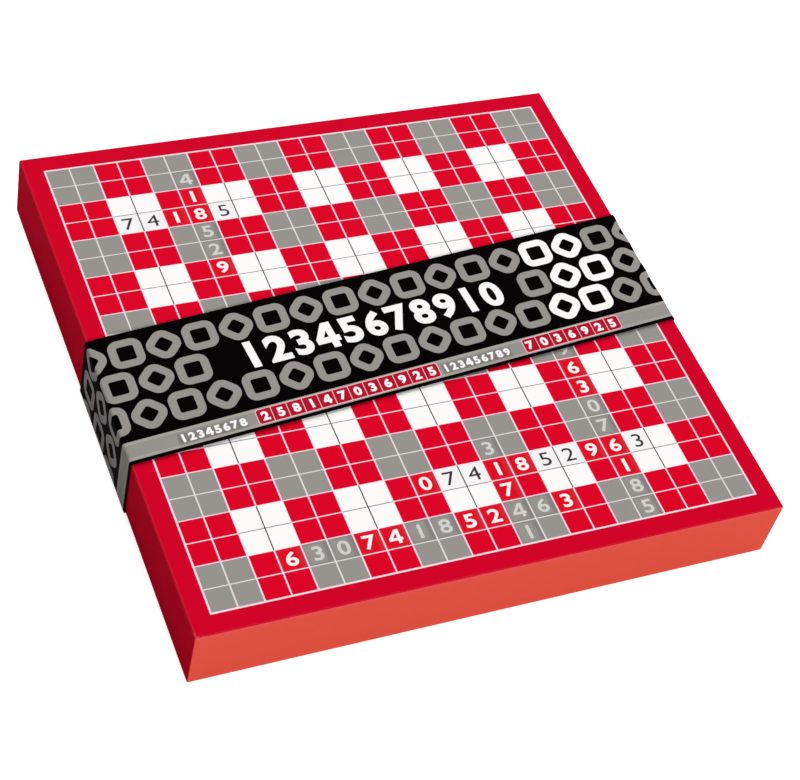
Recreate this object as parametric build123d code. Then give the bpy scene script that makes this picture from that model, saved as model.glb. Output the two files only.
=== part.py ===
from build123d import *
import os

# A square two-piece game box in millimetres: a tray, a full-depth lift-off lid and a card band
# that lies askew over the lid, round its rim and up inside it, with a boxed game's contents.
# X runs along the front, Y towards the back and Z up; the origin is the middle of the underside.

# Outside of the closed box, over the lid's printed paper
box_width = 296.0
box_depth = 296.0
box_height = 37.0
lid_rim_height = 1.6            # the lid's rim stays this far above the table

# Sheet materials of the lid and the tray
board_thickness = 1.8           # greyboard
board_edge_radius = 0.5         # how round the board's folded edges are
paper_thickness = 0.2           # printed wrap, turned in at the rims
lid_turn_in = 15.0
base_turn_in = 14.0
turn_under = 16.0               # margin of the tray's paper under its floor
lining_thickness = 0.2
lining_clearance = 0.4
stay_thickness = 0.15           # paper stays on the boards' corners
stay_leg = 13.0
bottom_sheet_thickness = 0.3
bottom_sheet_inset = 2.5
lid_fit = 1.2                   # gap between the lid's inside and the tray, on each side

# Card band
band_thickness = 0.5
band_width = 75.3               # along Y
band_skew = 27.2                # how much further back the band lies on the right than the left
band_forward = 1.3              # from the lid's middle forward to the band's middle
band_lift = 0.4                 # air between the lid's top and the band
band_clearance = 0.3            # between the band and the lid's walls and rim
band_tuck = 22.0                # height of the ends turned up inside the lid

# Folded playing board
leaf_thickness = 1.8
leaf_clearance = 1.0            # from the tray's wall
hinge_tape_thickness = 0.15
hinge_tape_width = 14.0
hinge_tape_end = 22.0           # how far the tapes stop short of the leaves' corners

# Rules leaflet
leaflet_width = 210.0
leaflet_depth = 148.0
leaflet_thickness = 0.6

# Formed tray for the small contents
tray_thickness = 0.8
tray_clearance = 0.9
tray_drop = 6.0                 # from the tray wall's rim down to the insert's deck
tray_skirt = 9.0
scoop_width = 26.0
scoop_bite = 7.0                # how far a finger scoop opens into the wells beside it
scoop_radius = 6.0

# Racks, tiles and cards
rack_length = 110.0
rack_depth = 20.0
rack_height = 13.0
rack_wall = 3.0
rack_lip = 5.5
rack_floor = 2.5
rack_slope = 4.5
rack_clearance = 1.0
tile_side = 19.0
tile_thickness = 4.2
tile_radius = 1.5
tile_edge = 0.4
tile_clearance = 0.6
tile_columns = 3
tile_rows = 4
tile_layers = 2
card_length = 88.0
card_width = 63.0
card_radius = 3.5
card_deck_height = 12.0
card_clearance = 1.5

# Lid, worked out from the sheets above
lid_board_width = box_width - 2 * paper_thickness
lid_board_depth = box_depth - 2 * paper_thickness
lid_board_top = box_height - paper_thickness
lid_board_rim = lid_rim_height + paper_thickness
lid_panel_underside = lid_board_top - board_thickness
lid_inner_width = lid_board_width - 2 * board_thickness
lid_inner_depth = lid_board_depth - 2 * board_thickness
lid_seat = lid_panel_underside - lining_thickness
lid_face_width = lid_inner_width - 2 * paper_thickness
lid_face_depth = lid_inner_depth - 2 * paper_thickness

# Tray
base_width = lid_face_width - 2 * lid_fit
base_depth = lid_face_depth - 2 * lid_fit
base_board_width = base_width - 2 * paper_thickness
base_board_depth = base_depth - 2 * paper_thickness
base_board_rim = lid_seat - paper_thickness
base_inner_width = base_board_width - 2 * board_thickness
base_inner_depth = base_board_depth - 2 * board_thickness
base_floor = bottom_sheet_thickness + board_thickness
base_face_width = base_inner_width - 2 * paper_thickness
base_face_depth = base_inner_depth - 2 * paper_thickness
contents_floor = base_floor + lining_thickness

# Folded board and leaflet
leaf_width = base_face_width - 2 * leaf_clearance
leaf_depth = base_face_depth - 2 * leaf_clearance
leaf_gap = 2 * hinge_tape_thickness
leaf_1_z = contents_floor + hinge_tape_thickness
leaf_2_z = leaf_1_z + leaf_thickness
leaf_3_z = leaf_2_z + leaf_thickness + leaf_gap
leaf_4_z = leaf_3_z + leaf_thickness
board_top = leaf_4_z + leaf_thickness
insert_bottom = board_top + max(hinge_tape_thickness, leaflet_thickness)

# Insert
deck_width = base_face_width - 2 * tray_clearance
deck_depth = base_face_depth - 2 * tray_clearance
deck_top = lid_seat - tray_drop
well_floor = insert_bottom + tray_thickness
tile_pitch = tile_side + tile_clearance
rack_well_width = rack_length + 2 * rack_clearance
rack_well_depth = 2 * rack_depth + 3 * rack_clearance
tile_well_width = tile_columns * tile_pitch + tile_clearance
tile_well_depth = tile_rows * tile_pitch + tile_clearance
card_well_width = card_length + 2 * card_clearance
card_well_depth = card_width + 2 * card_clearance
# A well's corners follow its contents' round corners, or clear their square ones
rack_well_radius = 3 * rack_clearance
tile_well_radius = tile_radius + tile_clearance
card_well_radius = card_radius + card_clearance
row_rib = (deck_depth - rack_well_depth - tile_well_depth - card_well_depth) / 4
rack_row_y = -deck_depth / 2 + row_rib + rack_well_depth / 2
tile_row_y = rack_row_y + rack_well_depth / 2 + row_rib + tile_well_depth / 2
card_row_y = tile_row_y + tile_well_depth / 2 + row_rib + card_well_depth / 2


def block(width, depth, z_low, z_high):
    """A plain box centred on the Z axis between two heights."""
    height = z_high - z_low
    return Pos(0, 0, z_low) * Box(width, depth, height, align=(Align.CENTER, Align.CENTER, Align.MIN))


def soft_block(width, depth, z_low, z_high, radius, end=None):
    """A block with round upright edges and, at its end "top" or "bottom", a round rim."""
    solid = block(width, depth, z_low, z_high)
    edges = solid.edges().filter_by(Axis.Z)
    if end == "top":
        edges += solid.faces().sort_by(Axis.Z)[-1].edges()
    if end == "bottom":
        edges += solid.faces().sort_by(Axis.Z)[0].edges()
    return fillet(edges, radius)


def frame_of(width, depth, wall, z_low, z_high):
    """A square-cornered frame whose walls lie inside the given width and depth."""
    outside = block(width, depth, z_low, z_high)
    return outside - block(width - 2 * wall, depth - 2 * wall, z_low, z_high)


def corner_stays(outside, inside, width, depth, z_low, z_high):
    """Four paper angles between two round-edged blocks, one at each upright corner."""
    sleeve = outside - inside
    stays = []
    for side_x in (-1, 1):
        for side_y in (-1, 1):
            corner = block(2 * stay_leg, 2 * stay_leg, z_low, z_high)
            corner = Pos(side_x * width / 2, side_y * depth / 2, 0) * corner
            stays.append((sleeve & corner).solid())
    return stays


def rounded_plate(width, depth, radius, z_low, z_high):
    """A plate with round corners between two heights."""
    outline = RectangleRounded(width, depth, radius)
    return Pos(0, 0, z_low) * extrude(outline, z_high - z_low)


def slab(width, depth, x, y, z_low, z_high):
    """A block whose middle is moved to x and y."""
    return Pos(x, y, 0) * block(width, depth, z_low, z_high)


# Lid
def lid_stays():
    size = (lid_board_width, lid_board_depth)
    outside = soft_block(*size, lid_board_rim, lid_board_top, board_edge_radius, "top")
    pressed = [side - 2 * stay_thickness for side in size]
    inside = soft_block(*pressed, lid_board_rim, lid_board_top, board_edge_radius)
    return corner_stays(outside, inside, *size, lid_board_rim, lid_panel_underside)


def make_lid_board(stays):
    size = (lid_board_width, lid_board_depth)
    shell = soft_block(*size, lid_board_rim, lid_board_top, board_edge_radius, "top")
    shell -= block(lid_inner_width, lid_inner_depth, lid_board_rim, lid_panel_underside)
    return shell - stays


def make_lid_wrap():
    radius = board_edge_radius + paper_thickness
    skin = soft_block(box_width, box_depth, lid_rim_height, box_height, radius, "top")
    size = (lid_board_width, lid_board_depth)
    skin -= soft_block(*size, lid_board_rim, lid_board_top, board_edge_radius, "top")
    skin -= block(lid_face_width, lid_face_depth, lid_rim_height, lid_board_rim)
    turned_in = frame_of(lid_inner_width, lid_inner_depth, paper_thickness,
                         lid_rim_height, lid_rim_height + lid_turn_in)
    return skin + turned_in


def make_lid_lining():
    width = lid_inner_width - 2 * lining_clearance
    depth = lid_inner_depth - 2 * lining_clearance
    return block(width, depth, lid_seat, lid_panel_underside)


# Tray
def base_stays():
    size = (base_board_width, base_board_depth)
    low = bottom_sheet_thickness + paper_thickness
    outside = soft_block(*size, low, base_board_rim, board_edge_radius, "bottom")
    pressed = [side - 2 * stay_thickness for side in size]
    inside = soft_block(*pressed, low, base_board_rim, board_edge_radius)
    return corner_stays(outside, inside, *size, base_floor, base_board_rim)


def make_base_board(stays):
    size = (base_board_width, base_board_depth)
    low = bottom_sheet_thickness + paper_thickness
    shell = soft_block(*size, low, base_board_rim, board_edge_radius, "bottom")
    shell += block(base_width - 2 * turn_under, base_depth - 2 * turn_under,
                   bottom_sheet_thickness, base_floor)
    shell -= block(base_inner_width, base_inner_depth, base_floor, base_board_rim)
    return shell - stays


def make_base_wrap():
    radius = board_edge_radius + paper_thickness
    skin = soft_block(base_width, base_depth, bottom_sheet_thickness, lid_seat, radius, "bottom")
    size = (base_board_width, base_board_depth)
    low = bottom_sheet_thickness + paper_thickness
    skin -= soft_block(*size, low, base_board_rim, board_edge_radius, "bottom")
    skin -= block(base_width - 2 * turn_under, base_depth - 2 * turn_under,
                  bottom_sheet_thickness, low)
    skin -= block(base_face_width, base_face_depth, base_board_rim, lid_seat)
    turned_in = frame_of(base_inner_width, base_inner_depth, paper_thickness,
                         lid_seat - base_turn_in, lid_seat)
    return skin + turned_in


def make_base_bottom_sheet():
    width = base_width - 2 * bottom_sheet_inset
    depth = base_depth - 2 * bottom_sheet_inset
    return block(width, depth, 0, bottom_sheet_thickness)


def make_base_lining():
    width = base_inner_width - 2 * lining_clearance
    depth = base_inner_depth - 2 * lining_clearance
    return block(width, depth, base_floor, contents_floor)


# Band: the middle runs askew over the lid, and each end folds down the lid's wall, under its
# rim and up inside. Both ends have upright edges.
def make_belly_band():
    top_low = box_height + band_lift
    top_high = top_low + band_thickness
    outer_x = box_width / 2 + band_clearance + band_thickness
    wall_x = outer_x - band_thickness
    tuck_x = lid_face_width / 2 - band_clearance
    under_high = lid_rim_height - band_clearance
    under_low = under_high - band_thickness
    half = band_width / 2
    left_y = -band_forward - band_skew / 2
    right_y = -band_forward + band_skew / 2
    corners = [(-outer_x, left_y - half), (outer_x, right_y - half),
               (outer_x, right_y + half), (-outer_x, left_y + half)]
    band = Pos(0, 0, top_low) * extrude(make_face(Polyline(*corners, close=True)), band_thickness)
    for side, y in ((-1, left_y), (1, right_y)):
        wall = (wall_x + outer_x) / 2
        under_width = outer_x - tuck_x + band_thickness
        under = (outer_x + tuck_x - band_thickness) / 2
        tuck = tuck_x - band_thickness / 2
        band += slab(band_thickness, band_width, side * wall, y, under_low, top_high)
        band += slab(under_width, band_width, side * under, y, under_low, under_high)
        band += slab(band_thickness, band_width, side * tuck, y, under_low, under_low + band_tuck)
    return band


# Folded playing board
def make_leaf(z_low):
    return block(leaf_width, leaf_depth, z_low, z_low + leaf_thickness)


def side_tape(z_low, z_high):
    """Tape over the back edges of two leaves that lie face to face, from below to above."""
    length = leaf_width - 2 * hinge_tape_end
    y = leaf_depth / 2 - hinge_tape_width / 2
    spine_y = leaf_depth / 2 + hinge_tape_thickness / 2
    low = z_low - hinge_tape_thickness
    high = z_high + hinge_tape_thickness
    tape = slab(length, hinge_tape_width, 0, y, low, z_low)
    tape += slab(length, hinge_tape_width, 0, y, z_high, high)
    tape += slab(length, hinge_tape_thickness, 0, spine_y, low, high)
    return tape


def spine_tape(z_low, z_high):
    """Tape round the left edge of the whole folded board."""
    length = leaf_depth - 2 * hinge_tape_end
    x = -leaf_width / 2 + hinge_tape_width / 2
    spine_x = -leaf_width / 2 - hinge_tape_thickness / 2
    low = z_low - hinge_tape_thickness
    high = z_high + hinge_tape_thickness
    tape = slab(hinge_tape_width, length, x, 0, low, z_low)
    tape += slab(hinge_tape_width, length, x, 0, z_high, high)
    tape += slab(hinge_tape_thickness, length, spine_x, 0, low, high)
    return tape


def make_leaflet():
    return block(leaflet_width, leaflet_depth, board_top, board_top + leaflet_thickness)


# Insert: a deck with a skirt, and wells that hang from it down to the playing board
def spread(count, width):
    """The middles of wells of one width, with equal ribs between them and the deck's sides."""
    rib = (deck_width - count * width) / (count + 1)
    first = -deck_width / 2 + rib + width / 2
    return [first + number * (width + rib) for number in range(count)]


rack_xs = spread(2, rack_well_width)
tile_xs = spread(3, tile_well_width)
card_xs = spread(2, card_well_width)


def wells():
    """Every hollow of the insert as (x, y, width, depth, radius)."""
    rack_well = (rack_row_y, rack_well_width, rack_well_depth, rack_well_radius)
    tile_well = (tile_row_y, tile_well_width, tile_well_depth, tile_well_radius)
    card_well = (card_row_y, card_well_width, card_well_depth, card_well_radius)
    hollows = [(x, *rack_well) for x in rack_xs]
    hollows += [(x, *tile_well) for x in tile_xs]
    hollows += [(x, *card_well) for x in card_xs]
    for xs, width, y in ((rack_xs, rack_well_width, rack_row_y),
                         (card_xs, card_well_width, card_row_y)):
        rib = xs[1] - xs[0] - width
        hollows.append((0, y, rib + 2 * scoop_bite, scoop_width, scoop_radius))
    return hollows


def make_insert_tray():
    tray = block(deck_width, deck_depth, deck_top - tray_skirt, deck_top)
    tray -= block(deck_width - 2 * tray_thickness, deck_depth - 2 * tray_thickness,
                  deck_top - tray_skirt, deck_top - tray_thickness)
    for x, y, width, depth, radius in wells():
        outer = rounded_plate(width + 2 * tray_thickness, depth + 2 * tray_thickness,
                              radius + tray_thickness, insert_bottom, deck_top)
        tray += Pos(x, y, 0) * outer
    for x, y, width, depth, radius in wells():
        tray -= Pos(x, y, 0) * rounded_plate(width, depth, radius, well_floor, deck_top)
    return tray


# Racks, tiles and cards
def make_rack(x, y):
    """A rack that leans its tiles back: a lip in front, a groove and a sloping rest."""
    front = -rack_depth / 2
    back = rack_depth / 2
    groove = front + rack_wall
    heel = groove + rack_slope
    points = [(front, 0), (back, 0), (back, rack_height), (back - rack_wall, rack_height),
              (heel, rack_floor), (groove, rack_floor), (groove, rack_lip), (front, rack_lip)]
    profile = Plane.YZ * make_face(Polyline(*points, close=True))
    return Pos(x - rack_length / 2, y, well_floor) * extrude(profile, rack_length)


def make_tile():
    tile = rounded_plate(tile_side, tile_side, tile_radius, 0, tile_thickness)
    return chamfer(tile.faces().sort_by(Axis.Z)[-1].edges(), tile_edge)


def make_tiles(well_x):
    """A well's tiles, in columns, rows and layers."""
    tile = make_tile()
    first_x = well_x - (tile_columns - 1) * tile_pitch / 2
    first_y = tile_row_y - (tile_rows - 1) * tile_pitch / 2
    tiles = []
    for layer in range(tile_layers):
        z = well_floor + layer * tile_thickness
        for row in range(tile_rows):
            for column in range(tile_columns):
                place = Pos(first_x + column * tile_pitch, first_y + row * tile_pitch, z)
                tiles.append(place * tile)
    return tiles


def make_card_deck(x):
    deck = rounded_plate(card_length, card_width, card_radius, well_floor,
                         well_floor + card_deck_height)
    return Pos(x, card_row_y, 0) * deck


def make_parts():
    """Each node's name with its solid or list of solids."""
    stays_of_lid = lid_stays()
    stays_of_base = base_stays()
    parts = {
        "lid_board": make_lid_board(stays_of_lid),
        "lid_corner_stays": stays_of_lid,
        "lid_wrap": make_lid_wrap(),
        "lid_lining": make_lid_lining(),
        "base_board": make_base_board(stays_of_base),
        "base_corner_stays": stays_of_base,
        "base_wrap": make_base_wrap(),
        "base_bottom_sheet": make_base_bottom_sheet(),
        "base_lining": make_base_lining(),
        "belly_band": make_belly_band(),
        "board_tape_lower": side_tape(leaf_1_z, leaf_2_z + leaf_thickness),
        "board_tape_upper": side_tape(leaf_3_z, board_top),
        "board_tape_spine": spine_tape(leaf_1_z, board_top),
        "rules_leaflet": make_leaflet(),
        "insert_tray": make_insert_tray(),
    }
    for number, z_low in enumerate((leaf_1_z, leaf_2_z, leaf_3_z, leaf_4_z), start=1):
        parts[f"board_leaf_{number}"] = make_leaf(z_low)
    rack_pitch = rack_depth + rack_clearance
    for end, y in (("front", rack_row_y - rack_pitch / 2), ("back", rack_row_y + rack_pitch / 2)):
        for side, x in zip(("left", "right"), rack_xs):
            parts[f"rack_{end}_{side}"] = make_rack(x, y)
    for colour, x in zip(("red", "grey", "white"), tile_xs):
        parts[f"tiles_{colour}"] = make_tiles(x)
    for side, x in zip(("left", "right"), card_xs):
        parts[f"card_deck_{side}"] = make_card_deck(x)
    return parts


os.makedirs("parts", exist_ok=True)
for node, shape in make_parts().items():
    if isinstance(shape, list):
        shape = Compound(children=shape)
    export_step(shape, f"parts/{node}.step")
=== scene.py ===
from math import atan2, cos, pi, radians, sin

import bmesh
import bpy
from mathutils import Matrix, Vector


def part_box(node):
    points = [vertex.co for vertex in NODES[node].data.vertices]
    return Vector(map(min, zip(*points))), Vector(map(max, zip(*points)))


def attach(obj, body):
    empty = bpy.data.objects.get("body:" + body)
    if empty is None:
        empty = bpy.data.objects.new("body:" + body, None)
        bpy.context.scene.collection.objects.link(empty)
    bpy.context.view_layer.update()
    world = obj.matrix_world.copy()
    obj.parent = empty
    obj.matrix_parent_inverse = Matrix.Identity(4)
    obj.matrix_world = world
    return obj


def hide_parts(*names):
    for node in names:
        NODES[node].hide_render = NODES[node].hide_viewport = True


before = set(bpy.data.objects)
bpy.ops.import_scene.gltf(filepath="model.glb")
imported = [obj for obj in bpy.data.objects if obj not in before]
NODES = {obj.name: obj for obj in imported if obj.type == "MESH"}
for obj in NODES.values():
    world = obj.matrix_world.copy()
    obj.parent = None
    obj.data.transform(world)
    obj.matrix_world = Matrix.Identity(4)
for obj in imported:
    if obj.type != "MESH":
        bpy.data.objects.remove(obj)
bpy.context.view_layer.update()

# A square game box: a red lid printed with a grid of squares, a card band laid askew over it,
# and under the lid a tray with a folded board, racks, number tiles and cards. All in metres.

MM = 0.001

# Boxes of the main nodes, which the finished pieces fill
LID_LOW, LID_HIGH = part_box("lid_wrap")
TRAY_LOW, TRAY_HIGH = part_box("base_wrap")
BAND_LOW, BAND_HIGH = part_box("belly_band")
LID_TOP = LID_HIGH.z
HALF = LID_HIGH.x
BAND_HALF = BAND_HIGH.x

# Paper and board
PAPER = 0.2 * MM
WALL = 1.8 * MM + 2 * PAPER     # board with paper on both sides
FOLD = 0.7 * MM                 # outer radius of a fold over the board's edge
RIM_FOLD = 0.3 * MM
LID_TURN_IN = 15 * MM
TRAY_TURN_IN = 14 * MM
TRAY_TURN_UNDER = 16 * MM

# Print on the lid
CELL = 12.5 * MM
CELLS = 22
GRID_HALF = CELLS * CELL / 2
COLUMN_LINE = 0.74 * MM
ROW_LINE = 0.55 * MM
FINE_COLUMN_LINE = 0.60 * MM
FINE_ROW_LINE = 0.47 * MM
OUTLINE = 0.9 * MM
PRINT_GLOSS = 0.004
LID_FIGURE = 7.7 * MM           # height of the figures on the lid
# Runs of number tiles: first column, first row, how many, and whether they run along a row
NUMBER_RUNS = ((5, 1, 6, False), (2, 3, 5, True), (9, 18, 10, True), (12, 17, 5, False),
               (3, 20, 12, True), (17, 13, 9, False))

# Band
BAND_CARD = 0.42 * MM
BAND_SKEW = 27.2 * MM           # how far the band drifts to the back from its left end to its right
BAND_WIDTH = BAND_HIGH.y - BAND_LOW.y - BAND_SKEW
BAND_MIDDLE = (BAND_HIGH.y + BAND_LOW.y) / 2
BAND_FOLD = 1.3 * MM
BAND_TUCK = 22 * MM
BAND_TUCK_X = HALF - WALL - 0.8 * MM
BAND_TOP = BAND_HIGH.z - 0.08 * MM
BAND_TURN = atan2(BAND_SKEW, 2 * BAND_HALF)
# Painted shadow: the 1.8 mm black margin in front of the grey strip stands for the shadow under the
# band's front edge
STRIP_PAST_PAINTED_SHADOW = 1.8 * MM           # the grey strip's two sides, from the band's black front edge
STRIP_TO = 12.3 * MM
STRIP_MIDDLE = (STRIP_PAST_PAINTED_SHADOW + STRIP_TO) / 2
ROWS_MIDDLE = (BAND_WIDTH + STRIP_TO) / 2
MOTIF_PITCH = 18.8 * MM
SQUARE_REACH = 6.4 * MM         # from a frame's middle to the middle of its stroke
SQUARE_STRAIGHT = 3.2 * MM      # half the straight part of a frame's side
DIAMOND_REACH = 5.7 * MM
DIAMOND_STRAIGHT = 2.2 * MM
MOTIF_STROKE = 4.2 * MM
TITLE_MIDDLE = -7.0 * MM        # where along the band the big figures stand
TITLE_HALF = 76 * MM
TITLE_FIGURE = 16.4 * MM
TITLE_PITCH = 13.3 * MM
PALE_FROM = 92 * MM             # the motifs printed in white stand between these
PALE_TO = 128 * MM
SMALL_TILE = 9.2 * MM
SMALL_PITCH = 8.1 * MM
SMALL_FIGURE = 5.3 * MM
SMALL_ROWS = ((-83.5 * MM, 12), (61.5 * MM, 7))     # where along, and how many small tiles
# Runs of small figures on the bare strip: where along, and what they are
COUNTS = ((-121 * MM, "12345678"), (17.5 * MM, "123456789"))
COUNT_FIGURE = 4.7 * MM
COUNT_PITCH = 4.3 * MM
COUNT_MIDDLE = STRIP_MIDDLE - 0.4 * MM

# Contents
TILE_SIDE = 19 * MM
TILE_GAP = 0.6 * MM
TILE_HEIGHT = 4.2 * MM
TILE_CORNER = 1.5 * MM
TILE_EDGE = 0.45 * MM           # how far its rims are softened
TILE_FIGURE = 10 * MM
TILE_COLUMNS = 3
TILE_ROWS = 4
TILE_LAYERS = 2
CARDS_IN_DECK = 40
CARD_CORNER = 3.5 * MM

# Inks and stocks, as they read in even light (0 to 255)
RED = (210, 3, 41)
CELL_RED = (221, 4, 38)
DEEP_RED = (196, 0, 35)
# Painted sheen: the lighter orange-red that only the front wall is given
FRONT_SHEEN_RED = (224, 85, 69)
GREY = (152, 148, 144)
DEEP_GREY = (141, 137, 133)
BLACK = (3, 1, 2)
WHITE = (251, 250, 249)
OUTLINE_INK = (253, 224, 234)       # round the whole grid
LINE_INK = (255, 219, 237)          # between squares
GREY_LINE_INK = (226, 221, 219)     # inside the grey blocks
FINE_ROW_INK = (132, 128, 140)      # inside the white blocks
FINE_COLUMN_INK = (62, 58, 60)
NUMBER_WHITE = (246, 245, 245)      # number tiles
NUMBER_RED = (225, 12, 36)
NUMBER_SHADE = (112, 105, 107)
STRIP_PALE = (182, 177, 166)        # grey strip
STRIP_SHADE = (98, 97, 96)
SMALL_TILE_RED = (180, 18, 44)
SMALL_TILE_EDGE = (236, 196, 202)
RUBBED_INK = (240, 196, 190)


def tint(colour):
    """A screen colour as the linear light that shaders take."""
    levels = [level / 255 for level in colour]
    return (*[level / 12.92 if level <= 0.04045 else ((level + 0.055) / 1.055) ** 2.4
              for level in levels], 1.0)


# Shader maths
class Sock:
    """A node's output that takes Python's operators. Each one adds a Math node."""

    def __init__(self, tree, socket):
        self.tree = tree
        self.socket = socket

    def __add__(self, other):
        return self.tree.math("ADD", self, other)

    __radd__ = __add__

    def __sub__(self, other):
        return self.tree.math("SUBTRACT", self, other)

    def __rsub__(self, other):
        return self.tree.math("SUBTRACT", other, self)

    def __mul__(self, other):
        return self.tree.math("MULTIPLY", self, other)

    __rmul__ = __mul__

    def __truediv__(self, other):
        return self.tree.math("DIVIDE", self, other)

    def __mod__(self, other):
        return self.tree.math("FLOORED_MODULO", self, other)

    def __lt__(self, other):
        return self.tree.math("LESS_THAN", self, other)

    def __gt__(self, other):
        return self.tree.math("GREATER_THAN", self, other)

    def __abs__(self):
        return self.tree.math("ABSOLUTE", self)


class Tree:
    """A node tree, with one way of adding nodes to it."""

    def __init__(self, tree):
        self.tree = tree

    def node(self, kind, settings=None, inputs=None):
        made = self.tree.nodes.new(kind)
        for name, value in (settings or {}).items():
            setattr(made, name, value)
        for name, value in (inputs or {}).items():
            self.feed(made.inputs[name], value)
        return made

    def value(self, kind, settings=None, inputs=None, output=0):
        return Sock(self, self.node(kind, settings, inputs).outputs[output])

    def feed(self, socket, value):
        if isinstance(value, Sock):
            self.tree.links.new(value.socket, socket)
        else:
            socket.default_value = value

    def math(self, operation, *values):
        return self.value("ShaderNodeMath", {"operation": operation}, dict(enumerate(values)))

    def most(self, first, second):
        return self.math("MAXIMUM", first, second)

    def least(self, first, second):
        return self.math("MINIMUM", first, second)


class Finish(Tree):
    """A material: its tree, and the shader that its maps feed."""

    def __init__(self, name, roughness=0.5, gloss=0.2):
        self.material = bpy.data.materials.new(name)
        self.material.use_nodes = True
        super().__init__(self.material.node_tree)
        self.shader = self.tree.nodes["Principled BSDF"].inputs
        self.shader["Roughness"].default_value = roughness
        self.shader["Specular IOR Level"].default_value = gloss

    def place(self):
        return self.value("ShaderNodeTexCoord", output="Object")

    def split(self, vector):
        node = self.node("ShaderNodeSeparateXYZ", inputs={0: vector})
        return [Sock(self, output) for output in node.outputs]

    def mix(self, factor, low, high):
        inputs = {0: factor, 6: low, 7: high}
        return self.value("ShaderNodeMix", {"data_type": "RGBA"}, inputs, output=2)

    def noise(self, scale, detail=3.0, vector=None):
        inputs = {"Vector": vector or self.place(), "Scale": scale, "Detail": detail}
        return self.value("ShaderNodeTexNoise", inputs=inputs)

    def below(self, distance, soft=0.04 * MM):
        """1 where a distance is under nothing and 0 where it is over, with a soft edge."""
        settings = {"operation": "MULTIPLY_ADD", "use_clamp": True}
        return self.value("ShaderNodeMath", settings, {0: distance, 1: -1 / soft, 2: 0.5})

    def mottled(self, colour, deeper, share=0.3, scale=260.0):
        """An ink with faint clouds of a deeper one."""
        return self.mix(self.noise(scale) * share, tint(colour), tint(deeper))

    def colour(self, value):
        self.feed(self.shader["Base Color"], value)

    def rough(self, value):
        self.feed(self.shader["Roughness"], value)

    def bump(self, height, depth, strength=1.0):
        inputs = {"Height": height, "Distance": depth, "Strength": strength}
        self.feed(self.shader["Normal"], self.value("ShaderNodeBump", inputs=inputs))

    def paper_grain(self, depth=0.02 * MM):
        self.bump(self.noise(2600.0, 4.0), depth, 0.5)


# Print
def in_number_runs(finish, column, row):
    """1 on the squares that hold a number tile."""
    inside = None
    for first_column, first_row, count, is_row in NUMBER_RUNS:
        last_column = first_column + (count if is_row else 1)
        last_row = first_row + (1 if is_row else count)
        across = (column > first_column) * (column < last_column)
        run = across * (row > first_row) * (row < last_row)
        inside = run if inside is None else finish.most(inside, run)
    return inside


def grid_colour(finish, x, y):
    """The grid of squares: blocks of four in red, grey and white, with pale lines between."""
    column = (x + GRID_HALF) / CELL
    row = (GRID_HALF - y) / CELL
    odd_column = (column / 2) % 2 > 1
    odd_row = (row / 2) % 2 > 1
    white = odd_column * odd_row
    grey = (1 - odd_column) * (1 - odd_row)
    tiles = in_number_runs(finish, column, row)

    # Distances to the nearest lines between squares, and to the middle lines of the block
    to_column = CELL * (0.5 - abs(column % 1 - 0.5))
    to_row = CELL * (0.5 - abs(row % 1 - 0.5))
    to_middle_column = 2 * CELL * abs((column / 2) % 1 - 0.5)
    to_middle_row = 2 * CELL * abs((row / 2) % 1 - 0.5)
    line = finish.most(finish.below(to_column - COLUMN_LINE / 2),
                       finish.below(to_row - ROW_LINE / 2))
    middle = finish.most(finish.below(to_middle_column - COLUMN_LINE / 2),
                         finish.below(to_middle_row - ROW_LINE / 2))

    colour = finish.mix(grey, finish.mottled(CELL_RED, RED), finish.mottled(GREY, DEEP_GREY))
    colour = finish.mix(white, colour, tint(WHITE))
    colour = finish.mix(tiles * white, colour, tint(NUMBER_WHITE))
    colour = finish.mix(tiles * (1 - white) * (1 - grey), colour, tint(NUMBER_RED))
    # Number tiles are a little darker at their edges, and most along their right side
    to_right = CELL * (1 - column % 1)
    shade = finish.most(finish.below(finish.least(to_column, to_row) - 0.9 * MM, 1.4 * MM),
                        finish.below(to_right - 2.7 * MM, 1.8 * MM))
    shade = shade * tiles * (0.12 - 0.07 * white + 0.34 * grey)
    colour = finish.mix(shade, colour, tint(NUMBER_SHADE))

    colour = finish.mix(line * (1 - white), colour, tint(LINE_INK))
    colour = finish.mix(middle * grey, colour, tint(GREY_LINE_INK))
    fine_row = white * finish.below(to_middle_row - FINE_ROW_LINE / 2)
    colour = finish.mix(fine_row, colour, tint(FINE_ROW_INK))
    fine_column = white * finish.below(to_middle_column - FINE_COLUMN_LINE / 2)
    return finish.mix(fine_column, colour, tint(FINE_COLUMN_INK))


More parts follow.
